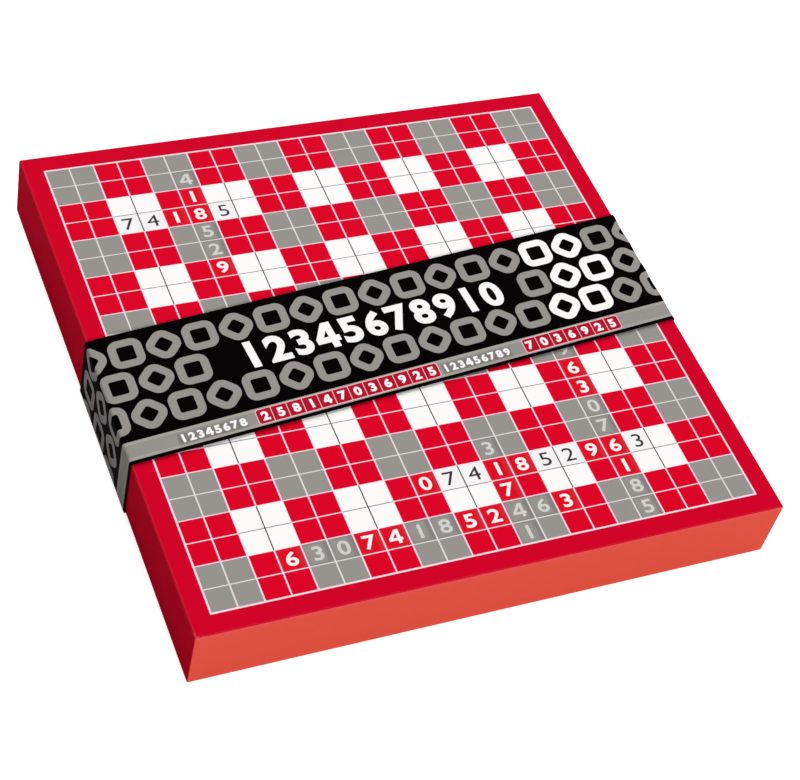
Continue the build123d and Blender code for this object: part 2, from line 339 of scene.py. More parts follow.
def lid_print():
    """The lid's paper: a red border round the grid, and a lighter red on the front wall, which is
    painted sheen.
    """
    finish = Finish("printed_lid_paper", gloss=PRINT_GLOSS)
    x, y, z = finish.split(finish.place())
    reach = finish.most(abs(x), abs(y))
    on_top = z > LID_TOP - 0.1 * MM
    red = finish.mottled(RED, DEEP_RED)
    colour = finish.mix(on_top * (reach < GRID_HALF), red, grid_colour(finish, x, y))
    outline = on_top * finish.below(abs(reach - GRID_HALF) - OUTLINE / 2)
    colour = finish.mix(outline, colour, tint(OUTLINE_INK))

    # Painted sheen: the front wall alone is a lighter orange-red, turning pinker by the fold and
    # more orange by the rim
    front = (0 - y > abs(x)) * (0 - y - z > HALF - LID_TOP)
    sheen_red = finish.mottled(FRONT_SHEEN_RED, (214, 72, 57))
    by_fold = finish.below(LID_TOP - z - 2 * MM, 3 * MM)
    by_rim = finish.below(z - LID_LOW.z - 2 * MM, 4 * MM)
    sheen_red = finish.mix(by_fold * 0.7, sheen_red, tint((232, 75, 84)))
    sheen_red = finish.mix(by_rim * 0.6, sheen_red, tint((236, 84, 60)))
    colour = finish.mix(front, colour, sheen_red)

    # The ink is a little thin on the folds, and rubbed at the corners
    off_fold = finish.least(abs(z - LID_TOP), HALF - reach)
    fold = finish.below(off_fold - 0.1 * MM, 0.5 * MM) * finish.below(abs(HALF - reach) - 0.9 * MM)
    corner = finish.below(2 * HALF - abs(x) - abs(y) - 3.5 * MM, 4 * MM)
    rubbed = fold * (0.03 + 0.14 * corner * (finish.noise(500.0, 5.0) > 0.52))
    colour = finish.mix(rubbed * on_edge(finish, z), colour, tint(RUBBED_INK))
    finish.colour(colour)
    finish.rough(0.64 + 0.12 * finish.noise(90.0))

    # Near each corner the paper of the front or back wall laps under that of the side wall
    lap = 11 * MM
    seam = finish.below(abs(abs(y) - HALF + lap) - 0.08 * MM) * (abs(x) > HALF - 0.1 * MM)
    finish.bump(finish.noise(2600.0, 4.0) * 0.3 - seam, 0.05 * MM, 0.5)
    return finish.material


def on_edge(finish, z):
    """1 near the lid's top fold and its rim."""
    return finish.most(z > LID_TOP - 1.5 * MM, z < LID_LOW.z + 1.0 * MM)


def outside_frame(finish, a, b, reach, straight):
    """How far a point is outside the stroke of a square frame with round corners."""
    corner_a = finish.most(abs(a) - straight, 0)
    corner_b = finish.most(abs(b) - straight, 0)
    rounded = finish.math("SQRT", corner_a * corner_a + corner_b * corner_b) + straight
    return abs(rounded - reach) - MOTIF_STROKE / 2


def motifs(finish, along, across):
    """Three rows of frames: square ones take turns with ones that stand on a corner. Returns where
    the frames are, and which of them are printed in white."""
    off_middle = across - ROWS_MIDDLE
    row = off_middle / MOTIF_PITCH + 0.5
    row_number = finish.math("FLOOR", row)
    column = along / MOTIF_PITCH + row_number * 0.5
    column_number = finish.math("FLOOR", column)
    a = (column % 1 - 0.5) * MOTIF_PITCH
    b = (row % 1 - 0.5) * MOTIF_PITCH
    square = outside_frame(finish, a, b, SQUARE_REACH, SQUARE_STRAIGHT)
    diamond = outside_frame(finish, (a + b) * cos(pi / 4), (a - b) * cos(pi / 4),
                            DIAMOND_REACH, DIAMOND_STRAIGHT)
    turned = (column_number + row_number) % 2 > 0.5
    frames = finish.below(square * (1 - turned) + diamond * turned)
    middle = (column_number + 0.5 - row_number * 0.5) * MOTIF_PITCH
    title = (abs(row_number) < 0.5) * (abs(middle - TITLE_MIDDLE) < TITLE_HALF + SQUARE_REACH)
    in_rows = abs(off_middle) < 1.5 * MOTIF_PITCH
    pale = (middle > PALE_FROM) * (middle < PALE_TO)
    return frames * in_rows * (1 - title), pale


def band_print():
    """The band: black with rows of frames, and near its front edge a grey strip with small red
    tiles. The pattern follows the strip of card over its folds."""
    finish = Finish("printed_band_card", gloss=PRINT_GLOSS)
    along, across, side = finish.split(
        finish.value("ShaderNodeAttribute", {"attribute_name": "strip"}, output="Vector"))
    frames, pale = motifs(finish, along, across)
    grey = finish.mottled(GREY, DEEP_GREY)
    colour = finish.mix(frames, tint(BLACK), grey)
    colour = finish.mix(frames * pale, colour, tint(WHITE))

    # The strip is paler near its two sides, and darker round its small figures
    off_strip = abs(across - STRIP_MIDDLE)
    past_strip = off_strip - (STRIP_TO - STRIP_PAST_PAINTED_SHADOW) / 2
    # Outside the strip the card stays black; the black margin in front of it is painted shadow
    colour = finish.mix(finish.below(past_strip), colour, grey)
    paler = finish.below(abs(past_strip + 0.9 * MM) - 0.7 * MM, 0.4 * MM)
    colour = finish.mix(paler * 0.5, colour, tint(STRIP_PALE))
    for first, text in COUNTS:
        half = len(text) * COUNT_PITCH / 2
        past_end = abs(along - first - half + COUNT_PITCH / 2) - half
        past_side = abs(across - COUNT_MIDDLE + 0.3 * MM) - 3.1 * MM
        ground = finish.below(finish.most(past_end, past_side), 1.2 * MM)
        colour = finish.mix(ground * 0.55, colour, tint(STRIP_SHADE))

    for first, count in SMALL_ROWS:
        middle = first + count * SMALL_PITCH / 2
        past_end = abs(along - middle) - count * SMALL_PITCH / 2
        past_side = off_strip - SMALL_TILE / 2
        cut_corner = (past_end + past_side) * cos(pi / 4) + 0.8 * MM
        outside = finish.most(finish.most(past_end, past_side), cut_corner)
        colour = finish.mix(finish.below(outside), colour, tint(SMALL_TILE_EDGE))
        joint = SMALL_PITCH * abs((along - first) / SMALL_PITCH % 1 - 0.5)
        tile = finish.below(outside + 0.45 * MM) * finish.below(joint - SMALL_PITCH / 2 + 0.2 * MM)
        colour = finish.mix(tile, colour, tint(SMALL_TILE_RED))

    # The card is black right through, so its back and its cut edges are too
    colour = finish.mix(side, colour, finish.mottled((27, 25, 25), (16, 15, 15)))
    finish.colour(colour)
    finish.rough(0.64 + 0.12 * finish.noise(120.0))
    finish.paper_grain(0.015 * MM)
    return finish.material


def card_print():
    """White cards. A deck's top back has a red field with a white lattice."""
    finish = Finish("coated_card_stock", gloss=0.3)
    x, y, z = finish.split(finish.place())
    low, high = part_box("card_deck_right")
    a = abs(x) - (low.x + high.x) / 2
    b = y - (low.y + high.y) / 2
    margin = 5 * MM
    field = (abs(a) < (high.x - low.x) / 2 - margin) * (abs(b) < (high.y - low.y) / 2 - margin)
    field = field * (z > high.z - 0.15 * MM)
    lattice = 4.4 * MM
    first = abs((a + b) / lattice % 1 - 0.5)
    second = abs((a - b) / lattice % 1 - 0.5)
    colour = finish.mix(field, tint((244, 242, 238)), tint(DEEP_RED))
    lines = field * finish.below(finish.least(first, second) - 0.09, 0.02)
    finish.colour(finish.mix(lines, colour, tint((240, 236, 232))))
    finish.rough(0.32 + 0.1 * finish.noise(300.0))
    finish.paper_grain(0.01 * MM)
    return finish.material


def ink(name, colour, deeper):
    """Printed figures, as matt as the paper round them."""
    finish = Finish(name, gloss=PRINT_GLOSS)
    finish.colour(finish.mottled(colour, deeper, 0.4))
    finish.rough(0.64 + 0.12 * finish.noise(400.0))
    return finish.material


# Other stocks
def plain_paper(name, colour, deeper, grain=0.03 * MM):
    """Paper in one colour, with a fine grain."""
    finish = Finish(name, gloss=PRINT_GLOSS)
    finish.colour(finish.mottled(colour, deeper, 0.5, 320.0))
    finish.rough(0.55 + 0.2 * finish.noise(150.0))
    finish.paper_grain(grain)
    return finish.material


def greyboard():
    """Recycled board with flecks and pressed fibres."""
    finish = Finish("raw_greyboard", gloss=0.1)
    fibres = finish.noise(900.0, 6.0)
    flecks = finish.noise(2400.0, 2.0) > 0.7
    colour = finish.mix(fibres, tint((150, 144, 134)), tint((188, 182, 170)))
    finish.colour(finish.mix(flecks * 0.5, colour, tint((104, 98, 90))))
    finish.rough(0.8 + 0.15 * fibres)
    finish.bump(fibres, 0.06 * MM, 0.6)
    return finish.material


def book_cloth():
    """Black woven hinge tape: two sets of fine threads."""
    finish = Finish("woven_hinge_tape", gloss=0.1)
    x, y, _ = finish.split(finish.place())
    thread = 0.5 * MM
    weave = finish.least(abs(x / thread % 1 - 0.5), abs(y / thread % 1 - 0.5))
    finish.colour(finish.mix(weave * 2, tint((14, 14, 15)), tint((40, 39, 41))))
    finish.rough(0.8 + 0.1 * weave)
    finish.bump(weave, 0.06 * MM, 0.6)
    return finish.material


def formed_sheet():
    """Satin black plastic sheet, with the faint orange peel of a formed part."""
    finish = Finish("formed_black_sheet", gloss=0.22)
    peel = finish.noise(240.0, 2.0)
    finish.colour(finish.mix(peel, tint((20, 20, 22)), tint((30, 30, 33))))
    finish.rough(0.4 + 0.12 * finish.noise(60.0))
    finish.bump(peel, 0.05 * MM, 0.3)
    return finish.material


def beech():
    """Lacquered beech: long growth lines, and the short dark flecks of its rays."""
    finish = Finish("lacquered_beech", gloss=0.35)
    stretch = {"Vector": finish.place(), "Scale": (0.06, 1, 1)}
    drawn = finish.value("ShaderNodeMapping", inputs=stretch)
    grain = finish.noise(420.0, 6.0, drawn)
    rays = finish.noise(1500.0, 2.0, drawn) > 0.64
    colour = finish.mix(grain, tint((196, 148, 98)), tint((226, 184, 136)))
    finish.colour(finish.mix(rays * 0.5, colour, tint((160, 108, 66))))
    finish.rough(0.35 + 0.15 * grain)
    finish.bump(grain, 0.04 * MM, 0.4)
    return finish.material


def moulded(name, colour, deeper):
    """A satin moulded tile with a fine spark texture."""
    finish = Finish(name, gloss=0.16)
    spark = finish.noise(3200.0, 2.0)
    finish.colour(finish.mottled(colour, deeper, 0.4, 180.0))
    finish.rough(0.4 + 0.15 * spark)
    finish.bump(spark, 0.02 * MM, 0.5)
    return finish.material


# Making and placing pieces
def new_object(name, data):
    thing = bpy.data.objects.new(name, data)
    bpy.context.scene.collection.objects.link(thing)
    return thing


def piece(name, mesh, body, material, stands_for=()):
    """A finished mesh as a piece that rides on a body."""
    thing = new_object(name, mesh)
    mesh.materials.clear()
    mesh.materials.append(material)
    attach(thing, body)
    if stands_for:
        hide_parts(*stands_for)
    return thing


def smooth(mesh, sharp_above=35):
    """Shades a mesh smooth, apart from the edges that turn more than an angle."""
    for face in mesh.polygons:
        face.use_smooth = True
    mesh.set_sharp_from_angle(angle=radians(sharp_above))
    return mesh


def mesh_of(name, work):
    """The mesh that a bmesh holds, shaded smooth. The bmesh itself goes."""
    mesh = bpy.data.meshes.new(name)
    work.to_mesh(mesh)
    work.free()
    return smooth(mesh)


def evaluated(thing):
    """What an object's modifiers make of it, as a plain mesh. The object itself goes."""
    bpy.context.view_layer.update()
    graph = bpy.context.evaluated_depsgraph_get()
    mesh = bpy.data.meshes.new_from_object(thing.evaluated_get(graph))
    bpy.data.objects.remove(thing)
    return mesh


def evenly_shaded(mesh):
    """The same mesh, whose flat faces stay flat in the light beside the small round ones."""
    for face in mesh.polygons:
        face.use_smooth = True
    thing = new_object(mesh.name, mesh)
    thing.modifiers.new("even_shading", "WEIGHTED_NORMAL").keep_sharp = True
    return evaluated(thing)


def arc(inset, z, radius, start, stop, steps=4):
    """Points (inset, z) round a centre, between two angles in quarter turns. 0 points outwards
    and 1 points up."""
    angles = [(start + (stop - start) * step / steps) * pi / 2 for step in range(steps + 1)]
    return [(inset - radius * cos(angle), z + radius * sin(angle)) for angle in angles]


def corner_loop(half_x, half_y, radius, z, steps=4):
    """Points round a rectangle with round corners. The first half of a corner's points count to
    the side before it: 0 right, 1 back, 2 left and 3 front."""
    points = []
    for corner, (side_x, side_y) in enumerate(((1, 1), (-1, 1), (-1, -1), (1, -1))):
        for step in range(steps + 1):
            angle = (corner + step / steps) * pi / 2
            x = side_x * (half_x - radius) + radius * cos(angle)
            y = side_y * (half_y - radius) + radius * sin(angle)
            side = (corner + (step >= steps / 2)) % 4
            points.append((Vector((x, y, z)), side))
    return points


def lofted(name, half_x, half_y, profile, ring=False, spread=None):
    """A skin whose loops follow a profile of (inset, z). A ring's last loop joins its first, and
    otherwise a flat end closes each. spread gives a point's place in the map, from its side, the
    point itself and how far along the profile it is."""
    work = bmesh.new()
    uv = work.loops.layers.uv.new("OFBake") if spread else None
    loops = []
    travelled = 0.0
    before = profile[0]
    for inset, z in profile:
        travelled += (Vector((inset, z)) - Vector(before)).length
        before = (inset, z)
        radius = max(FOLD - inset, 0.25 * MM)
        points = corner_loop(half_x - inset, half_y - inset, radius, z)
        loops.append([(work.verts.new(point), side, travelled) for point, side in points])

    def face(corners, side):
        made = work.faces.new([vertex for vertex, _, _ in corners])
        if spread:
            for loop, (vertex, _, along) in zip(made.loops, corners):
                loop[uv].uv = spread(side, vertex.co, along)

    pairs = list(zip(loops, loops[1:])) + ([(loops[-1], loops[0])] if ring else [])
    for low, high in pairs:
        for number in range(len(low)):
            after = (number + 1) % len(low)
            face((low[number], low[after], high[after], high[number]), low[number][1])
    if not ring:
        face(loops[0], "first end")
        face(loops[-1], "last end")
    bmesh.ops.recalc_face_normals(work, faces=work.faces)
    return evenly_shaded(mesh_of(name, work))


def softened(node, width, material):
    """A copy of a node's mesh with its sharp edges rounded a little, which stands for the node."""
    work = bmesh.new()
    work.from_mesh(NODES[node].data)
    bmesh.ops.remove_doubles(work, verts=work.verts, dist=0.001 * MM)
    bmesh.ops.dissolve_limit(work, angle_limit=radians(1), verts=work.verts, edges=work.edges)
    mesh = bpy.data.meshes.new(node)
    work.to_mesh(mesh)
    work.free()
    thing = new_object(node + "_rounding", mesh)
    bevel = thing.modifiers.new("rounding", "BEVEL")
    bevel.width = width
    bevel.segments = 2
    bevel.limit_method = "ANGLE"
    bevel.angle_limit = radians(35)
    mesh = evenly_shaded(evaluated(thing))
    return piece(node + "_finished", mesh, "tray", material, [node])


# Figures
GLYPHS = {}


def four(stroke):
    """The outline and the hole of a heavy 4, one unit high."""
    bar_low = 0.22
    bar_top = bar_low + stroke
    stem_right = 0.62
    stem_left = stem_right - stroke
    tip = Vector((0, bar_top - 0.02))
    head = Vector((stem_left - 0.04, 1))
    slope = (head - tip).normalized()
    # The hole's slanted side runs one stroke inside the outline's
    inside = tip + Vector((slope.y, -slope.x)) * stroke * 0.92
    rise = slope.y / slope.x
    hole_left = inside.x + (bar_top - inside.y) / rise
    hole_top = inside.y + (stem_left - inside.x) * rise
    outline = [(0, bar_low), (stem_left, bar_low), (stem_left, 0), (stem_right, 0),
               (stem_right, bar_low), (stem_right + 0.1, bar_low), (stem_right + 0.1, bar_top),
               (stem_right, bar_top), (stem_right, 1), tuple(head), tuple(tip)]
    hole = [(hole_left, bar_top), (stem_left, hole_top), (stem_left, bar_top)]
    return outline, hole


def four_curve(weight):
    """A heavy 4 as a filled curve. The font's own closes up when its strokes are thickened."""
    curve = bpy.data.curves.new("four", "CURVE")
    curve.dimensions = "2D"
    curve.fill_mode = "BOTH"
    for outline in four(0.14 + 2 * weight):
        spline = curve.splines.new("POLY")
        spline.points.add(len(outline) - 1)
        for point, (x, y) in zip(spline.points, outline):
            point.co = (x, y, 0, 1)
        spline.use_cyclic_u = True
    return curve


def figure_curve(character, weight):
    """A figure as text, its strokes thickened by a weight."""
    curve = bpy.data.curves.new("figure", "FONT")
    curve.body = character
    curve.offset = weight
    curve.resolution_u = 5
    return curve


def glyph(character, weight):
    """A figure as a thin solid, one unit high, with its middle at the origin."""
    if (character, weight) not in GLYPHS:
        heavy_four = character == "4" and weight > 0
        curve = four_curve(weight) if heavy_four else figure_curve(character, weight)
        curve.extrude = 0.5
        thing = new_object("figure", curve)
        mesh = evaluated(thing)
        xs = [vertex.co.x for vertex in mesh.vertices]
        ys = [vertex.co.y for vertex in mesh.vertices]
        middle = Vector(((max(xs) + min(xs)) / 2, (max(ys) + min(ys)) / 2, 0))
        high = max(ys) - min(ys)
        size = Matrix.Diagonal((1 / high, 1 / high, 1, 1))
        mesh.transform(size @ Matrix.Translation(-middle))
        GLYPHS[character, weight] = mesh
    return GLYPHS[character, weight]


def figures(name, places, weight, body, material, wide=1.0):
    """Figures printed on a face, as one piece. Each place is (character, point, height, turn)."""
    depth = 0.04 * MM
    work = bmesh.new()
    for character, point, height, turn in places:
        copy = glyph(character, weight).copy()
        size = Matrix.Diagonal((height * wide, height, depth, 1))
        copy.transform(Matrix.Translation(point) @ Matrix.Rotation(turn, 4, "Z") @ size)
        work.from_mesh(copy)
        bpy.data.meshes.remove(copy)
    bmesh.ops.remove_doubles(work, verts=work.verts, dist=0.0005 * MM)
    return piece(name, mesh_of(name, work), body, material)


# Lid
def lid_spread(side, point, travelled):
    """Where the lid's paper lies in its map: the printed top takes most of it, the four walls lie
    in strips along two of its sides, and the hidden underside in the corner."""
    top = 0.84
    strip = (1 - top) / 2
    gap = 0.004
    u = (point.x + HALF) / (2 * HALF)
    v = (point.y + HALF) / (2 * HALF)
    if side == "first end":
        return gap + u * (top - 2 * gap), gap + v * (top - 2 * gap)
    corner = 1 - top - 2 * gap
    if side == "last end":
        return top + gap + u * corner, top + gap + v * corner
    # The outer wall gets more than half of its strip's width
    outer = LID_TOP - LID_LOW.z + FOLD
    share = 0.62 * min(travelled, outer) / outer
    share += 0.38 * min(max(travelled - outer, 0) / (2.2 * outer), 1)
    across = top + gap / 2 + strip * (side // 2) + share * (strip - gap)
    along = v if side in (0, 2) else u
    along = gap + along * (top - 2 * gap)
    return (across, along) if side in (0, 2) else (along, across)


def lid_paper():
    """The printed paper: over the top, down the walls, round the rim and up inside them."""
    rim = LID_LOW.z
    turned_up = rim + LID_TURN_IN
    profile = arc(FOLD, LID_TOP - FOLD, FOLD, 1, 0)
    profile += arc(RIM_FOLD, rim + RIM_FOLD, RIM_FOLD, 0, -1)
    profile += arc(WALL - RIM_FOLD, rim + RIM_FOLD, RIM_FOLD, -1, -2)
    profile += [(WALL, turned_up), (WALL - PAPER, turned_up), (WALL - PAPER, rim + PAPER),
                (PAPER, rim + PAPER)]
    profile += arc(FOLD, LID_TOP - FOLD, FOLD - PAPER, 0, 1)
    mesh = lofted("lid_paper", HALF, HALF, profile, spread=lid_spread)
    piece("lid_paper", mesh, "lid", lid_print(), ["lid_wrap"])


def lid_number_places():
    """(character, point, kind of square) for each number tile of the print."""
    places = []
    filled = set()
    for run, (first_column, first_row, count, is_row) in enumerate(NUMBER_RUNS):
        for step in range(count):
            column = first_column + (step if is_row else 0)
            row = first_row + (0 if is_row else step)
            if (column, row) in filled:
                continue
            filled.add((column, row))
            x = (column + 0.5) * CELL - GRID_HALF
            y = GRID_HALF - (row + 0.5) * CELL
            block = (column // 2 % 2, row // 2 % 2)
            kind = {(1, 1): "white", (0, 0): "grey"}.get(block, "red")
            places.append((str((run * 3 + step * 7 + 4) % 10), Vector((x, y, LID_TOP)), kind))
    return places


def lid_numbers():
    """Plain figures on the number tiles: white on red, pale on grey and dark on white."""
    for kind, weight, material in (("red", 0.022, WHITE_INK), ("grey", 0.018, PALE_INK),
                                   ("white", 0.0, DARK_INK)):
        places = [(character, point, LID_FIGURE, 0)
                  for character, point, at in lid_number_places() if at == kind]
        name = "lid_numbers_on_" + kind
        figures(name, places, weight, "lid", material, wide=1.2)


# Band
def rounded_path(corners, radii, steps=5):
    """A path with right-angled corners, each of them rounded."""
    path = [Vector(corners[0])]
    for before, at, after, radius in zip(corners, corners[1:], corners[2:], radii):
        at = Vector(at)
        back = (Vector(before) - at).normalized()
        ahead = (Vector(after) - at).normalized()
        centre = at + (back + ahead) * radius
        for step in range(steps + 1):
            angle = step / steps * pi / 2
            path.append(centre - ahead * radius * cos(angle) - back * radius * sin(angle))
    path.append(Vector(corners[-1]))
    return path


def divided(path, longest):
    """A path with its long runs cut into an even number of parts."""
    fine = []
    for first, second in zip(path, path[1:]):
        parts = max(1, 2 * int((second - first).length / longest / 2))
        fine += [first.lerp(second, part / parts) for part in range(parts)]
    return fine + [path[-1]]


def give(across, x, z):
    """How far the card gives way at a point, as (x, z): most at its folds, and unevenly."""
    deepest = 0.3 * MM
    wave = 19 * MM
    phase = 0.8 if x > 0 else 2.4
    near_fold = max(0.0, 1 - abs(abs(x) - BAND_HALF) / (14 * MM))
    high = max(0.0, 1 - (BAND_TOP - z) / (20 * MM))
    ripple = 0.5 - 0.5 * cos(across / wave * 2 * pi + phase)
    ripple *= 0.55 + 0.45 * across / BAND_WIDTH
    inwards = deepest * ripple * high * (abs(x) > BAND_HALF - 3 * MM)
    return (-inwards if x > 0 else inwards), -deepest * ripple * near_fold * high


def band_spread(along, across, back, half_length):
    """Where a point of the band lies in its map: the printed side in two runs, the back in one."""
    gap = 0.004
    run_height = 0.34
    second_run = 0.36
    back_low = 0.72
    back_height = 0.27
    if back:
        u = (along + half_length) / (2 * half_length)
        return gap + u * (1 - 2 * gap), back_low + across / BAND_WIDTH * back_height
    u = 0.5 + (abs(along) - half_length / 2) / half_length * (1 - 2 * gap)
    first = gap if along <= 0 else second_run
    return u, first + across / BAND_WIDTH * run_height


def card_band():
    """The band as one folded strip of card, tucked up inside the lid's walls at both ends."""
    tuck_top = BAND_LOW.z + BAND_TUCK
    low = BAND_LOW.z
    corners = [(BAND_TUCK_X, tuck_top), (BAND_TUCK_X, low), (BAND_HALF, low), (BAND_HALF, BAND_TOP),
               (-BAND_HALF, BAND_TOP), (-BAND_HALF, low), (-BAND_TUCK_X, low),
               (-BAND_TUCK_X, tuck_top)]
    rim = 0.6 * MM
    path = divided(rounded_path(corners, (rim, rim, BAND_FOLD, BAND_FOLD, rim, rim)), 6 * MM)
    # The path's middle is a point of its own, where the two runs of the map meet
    lengths = [0.0]
    for first, second in zip(path, path[1:]):
        lengths.append(lengths[-1] + (second - first).length)
    half_length = lengths[-1] / 2
    rows = 28
    work = bmesh.new()
    strip = work.verts.layers.float_vector.new("strip")
    uv = work.loops.layers.uv.new("OFBake")
    sheets = []
    for back in (0, 1):
        sheet = []
        for number, point in enumerate(path):
            ahead = path[min(number + 1, len(path) - 1)] - path[max(number - 1, 0)]
            ahead.normalize()
            inner = point + Vector((-ahead.y, ahead.x)) * BAND_CARD * back
            line = []
            for row in range(rows + 1):
                across = row / rows * BAND_WIDTH
                shift_x, shift_z = give(across, point.x, point.y)
                drift = BAND_SKEW / 2 * max(-1, min(1, point.x / BAND_HALF))
                y = BAND_MIDDLE + drift - BAND_WIDTH / 2 + across
                vertex = work.verts.new((inner.x + shift_x, y, inner.y + shift_z))
                vertex[strip] = (half_length - lengths[number], across, back)
                line.append(vertex)
            sheet.append(line)
        sheets.append(sheet)

    def face(corners, back):
        made = work.faces.new(corners)
        middle = sum(vertex[strip][0] for vertex in corners) / len(corners)
        for loop in made.loops:
            along, across, _ = loop.vert[strip]
            along = min(along, 0) if middle < 0 else max(along, 1e-7)
            loop[uv].uv = band_spread(along, across, back, half_length)

    for back, sheet in enumerate(sheets):
        for line, following in zip(sheet, sheet[1:]):
            for row in range(rows):
                face((line[row], line[row + 1], following[row + 1], following[row]), back)
    front, rear = sheets
    rims = [(front[0], rear[0]), (front[-1], rear[-1])]
    rims += [([line[end] for line in front], [line[end] for line in rear]) for end in (0, -1)]
    for rim_line, mate in rims:
        for number in range(len(rim_line) - 1):
            face((rim_line[number], rim_line[number + 1], mate[number + 1], mate[number]), 1)
    bmesh.ops.recalc_face_normals(work, faces=work.faces)
    mesh = mesh_of("card_band", work)
    piece("card_band", mesh, "band", band_print(), ["belly_band"])


def on_band(along, across):
    """The point of the band's top that lies along and across the strip."""
    y = BAND_MIDDLE + along * sin(BAND_TURN) + across - BAND_WIDTH / 2
    return Vector((along * cos(BAND_TURN), y, BAND_TOP))


def band_numbers():
    """The big figures in the title's place, and the small ones on the grey strip."""
    title = "12345678910"
    places = []
    for number, character in enumerate(title):
        along = TITLE_MIDDLE + (number - (len(title) - 1) / 2) * TITLE_PITCH
        places.append((character, on_band(along, ROWS_MIDDLE), TITLE_FIGURE, BAND_TURN))
    figures("band_title_numbers", places, 0.04, "band", WHITE_INK, wide=1.06)

    small = []
    for first, count in SMALL_ROWS:
        for number in range(count):
            point = on_band(first + (number + 0.5) * SMALL_PITCH, STRIP_MIDDLE)
            small.append((str((number * 3 + count) % 10), point, SMALL_FIGURE, BAND_TURN))
    for first, text in COUNTS:
        for number, character in enumerate(text):
            point = on_band(first + number * COUNT_PITCH, COUNT_MIDDLE)
            small.append((character, point, COUNT_FIGURE, BAND_TURN))
    figures("band_small_numbers", small, 0.046, "band", WHITE_INK, wide=1.1)


# Tray and its contents
def tray_paper():
    """The tray's red paper: from under the floor, up the walls and down inside the rim."""
    low = TRAY_LOW.z
    rim = TRAY_HIGH.z
    turned_down = rim - TRAY_TURN_IN
    profile = [(TRAY_TURN_UNDER, low + PAPER), (TRAY_TURN_UNDER, low)]
    profile += arc(FOLD, low + FOLD, FOLD, -1, 0)
    profile += arc(RIM_FOLD, rim - RIM_FOLD, RIM_FOLD, 0, 1)
    profile += arc(WALL - RIM_FOLD, rim - RIM_FOLD, RIM_FOLD, 1, 2)
    profile += [(WALL, turned_down), (WALL - PAPER, turned_down), (WALL - PAPER, rim - PAPER),
                (PAPER, rim - PAPER)]
    profile += arc(FOLD, low + FOLD, FOLD - PAPER, 0, -1)[:-1]
    mesh = lofted("tray_paper", TRAY_HIGH.x, TRAY_HIGH.y, profile, ring=True)
    paper = plain_paper("red_tray_paper", RED, DEEP_RED)
    piece("tray_paper", mesh, "tray", paper, ["base_wrap"])


def copies_tree():
    """A geometry tree that sets copies of a piece in columns, rows and layers, each of them a
    little out of line."""
    group = bpy.data.node_groups.new("rows_and_layers", "GeometryNodeTree")
    sockets = {"Piece": "Geometry", "Columns": "Int", "Rows": "Int", "Layers": "Int", "Seed": "Int",
               "Column pitch": "Float", "Row pitch": "Float", "Layer pitch": "Float",
               "Shift": "Float", "Turn": "Float", "Material": "Material"}
    for name, kind in sockets.items():
        group.interface.new_socket(name, in_out="INPUT", socket_type="NodeSocket" + kind)
    group.interface.new_socket("Pieces", in_out="OUTPUT", socket_type="NodeSocketGeometry")
    tree = Tree(group)
    given = {output.name: Sock(tree, output) for output in tree.node("NodeGroupInput").outputs}

    def line(count, pitch, axis):
        offset = tree.value("ShaderNodeCombineXYZ", inputs={axis: given[pitch]})
        inputs = {"Count": given[count], "Offset": offset}
        return tree.value("GeometryNodeMeshLine", inputs=inputs)

    def set_on(points, instance, turn=(0, 0, 0)):
        inputs = {"Points": points, "Instance": instance, "Rotation": turn}
        return tree.value("GeometryNodeInstanceOnPoints", inputs=inputs)

    def stray(axes, reach, seed):
        """A random vector within a reach along some axes."""
        low, high = [tree.value("ShaderNodeCombineXYZ", inputs={axis: end for axis in axes})
                     for end in (0 - given[reach], given[reach])]
        inputs = {0: low, 1: high, "Seed": given["Seed"] + seed}
        return tree.value("FunctionNodeRandomValue", {"data_type": "FLOAT_VECTOR"}, inputs)

    floor = set_on(line("Rows", "Row pitch", 1), line("Columns", "Column pitch", 0))
    stack = set_on(line("Layers", "Layer pitch", 2), floor)
    spots = tree.value("GeometryNodeRealizeInstances", inputs={0: stack})
    inputs = {"Geometry": spots, "Offset": stray((0, 1), "Shift", 1)}
    strewn = tree.value("GeometryNodeSetPosition", inputs=inputs)
    placed = set_on(strewn, given["Piece"], stray((2,), "Turn", 2))
    inputs = {"Geometry": tree.value("GeometryNodeRealizeInstances", inputs={0: placed}),
              "Material": given["Material"]}
    finished = tree.value("GeometryNodeSetMaterial", inputs=inputs)
    tree.node("NodeGroupOutput", inputs={"Pieces": finished})
    return group


def copies(group, mesh, sizes):
    """The copies that the tree makes of one mesh."""
    thing = new_object("copies", mesh)
    modifier = thing.modifiers.new("copies", "NODES")
    modifier.node_group = group
    for item in group.interface.items_tree:
        if item.name in sizes:
            modifier[item.identifier] = sizes[item.name]
    return smooth(evaluated(thing))


def plate(half_x, half_y, corner, height, edge, steps=3):
    """A plate with round corners and softened rims, which stands on z 0."""
    work = bmesh.new()
    loops = []
    for inset, z in ((edge, 0), (0, edge), (0, height - edge), (edge, height)):
        points = corner_loop(half_x - inset, half_y - inset, corner - inset, z, steps)
        loops.append([work.verts.new(point) for point, _ in points])
    for low, high in zip(loops, loops[1:]):
        for number in range(len(low)):
            after = (number + 1) % len(low)
            work.faces.new((low[number], low[after], high[after], high[number]))
    work.faces.new(loops[0])
    work.faces.new(loops[-1])
    bmesh.ops.recalc_face_normals(work, faces=work.faces)
    return mesh_of("plate", work)


